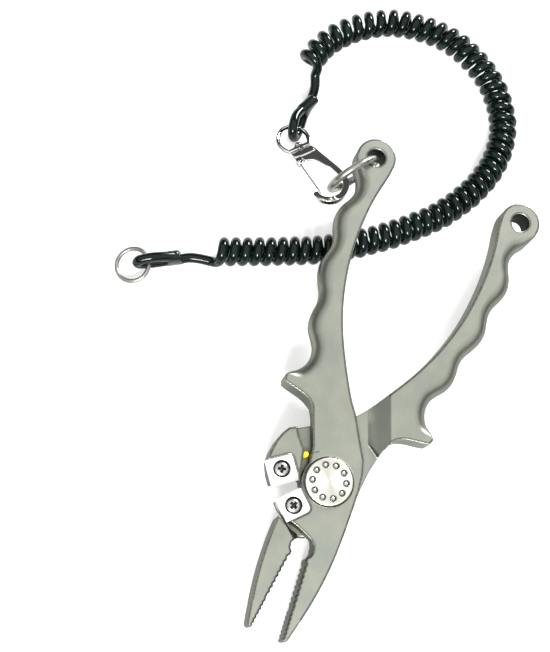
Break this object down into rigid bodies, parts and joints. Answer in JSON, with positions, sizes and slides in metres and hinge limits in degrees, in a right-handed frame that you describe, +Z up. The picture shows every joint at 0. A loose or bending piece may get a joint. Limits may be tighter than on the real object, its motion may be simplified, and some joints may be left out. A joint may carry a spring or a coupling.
{
  "type": "fishing pliers",
  "caption": "Open fishing pliers with waved handles, toothed jaws, bolted side cutters and a round pivot cap, joined by a ring and snap hook to a coiled safety lanyard.",
  "frame": {"origin": "bottom centre of the box around the pliers and their handle ring, without the lanyard and its clip, on the surface that they lie on", "axes": "+Z up from the surface, +Y from the jaws towards the handle ends, +X across the open handles; the pliers lie tilted 3 degrees about Y and 3.7 degrees about X"},
  "size_m": [0.1357, 0.2418, 0.0287],
  "materials": {
    "blasted_metal": "fine bead-blasted and satin, slightly green grey",
    "pivot_steel": "turned and bright",
    "cutter_steel": "ground and bright",
    "screw_steel": "machined with a cross recess",
    "bronze": "plain bearing bronze",
    "yellow_nylon": "satin moulded",
    "ring_steel": "satin grey wire",
    "bright_plate": "mirror plated",
    "spring_steel": "bright wire",
    "cord_plastic": "glossy black with a faint green tint",
    "sleeve_plastic": "glossy shrunk black sleeve"
  },
  "bodies": {
    "front_and_lanyard": {"front_half": "blasted_metal", "pivot_bolt": "pivot_steel", "pivot_cap": "pivot_steel", "thrust_washer": "bronze", "front_cutter": "cutter_steel", "front_cutter_screw": "screw_steel", "swivel_bail": "bright_plate", "lanyard_eye": "cord_plastic", "lanyard_sleeve": "sleeve_plastic", "lanyard_tail": "cord_plastic", "lanyard_coil": "cord_plastic", "end_tail": "cord_plastic", "end_sleeve": "sleeve_plastic", "end_eye": "cord_plastic"},
    "rear_arm": {"rear_half": "blasted_metal", "pivot_bush": "bronze", "rear_cutter": "cutter_steel", "rear_cutter_screw": "screw_steel", "opening_bumper": "yellow_nylon"},
    "hand_ring": {"handle_ring": "ring_steel"},
    "clip": {"hook_body": "bright_plate", "swivel_post": "bright_plate", "swivel_washer": "bright_plate", "gate_pin": "bright_plate", "gate_spring": "spring_steel"},
    "gate": {"hook_gate": "bright_plate"},
    "end_loop": {"end_ring": "ring_steel"}
  },
  "joints": [
    {"name": "plier_pivot", "type": "hinge", "parent": "front_and_lanyard", "child": "rear_arm", "pos_m": [0.00195, -0.03338, 0.00912], "axis": [0.0522, -0.0645, 0.9965], "range_deg": [0, 10.8]},
    {"name": "ring_turn", "type": "hinge", "parent": "front_and_lanyard", "child": "hand_ring", "pos_m": [-0.03126, 0.07364, 0.0178], "axis": [0.8161, -0.5724, -0.0798], "continuous": true},
    {"name": "clip_swivel", "type": "hinge", "parent": "front_and_lanyard", "child": "clip", "pos_m": [-0.05095, 0.07782, 0.0084], "axis": [0.7396, -0.614, 0.2756], "range_deg": [-8, 8]},
    {"name": "gate_hinge", "type": "hinge", "parent": "clip", "child": "gate", "pos_m": [-0.05083, 0.0733, 0.00925], "axis": [-0.2121, 0.1761, 0.9613], "range_deg": [0, 7.5], "stiffness_Nm_per_rad": 0.002, "springref_deg": -17.19, "deforming": ["gate_spring"]},
    {"name": "end_ring_lift", "type": "hinge", "parent": "front_and_lanyard", "child": "end_loop", "pos_m": [-0.08615, 0.01737, 0.0048], "axis": [-0.5446, 0.8387, 0], "range_deg": [0, 40]}
  ]
}
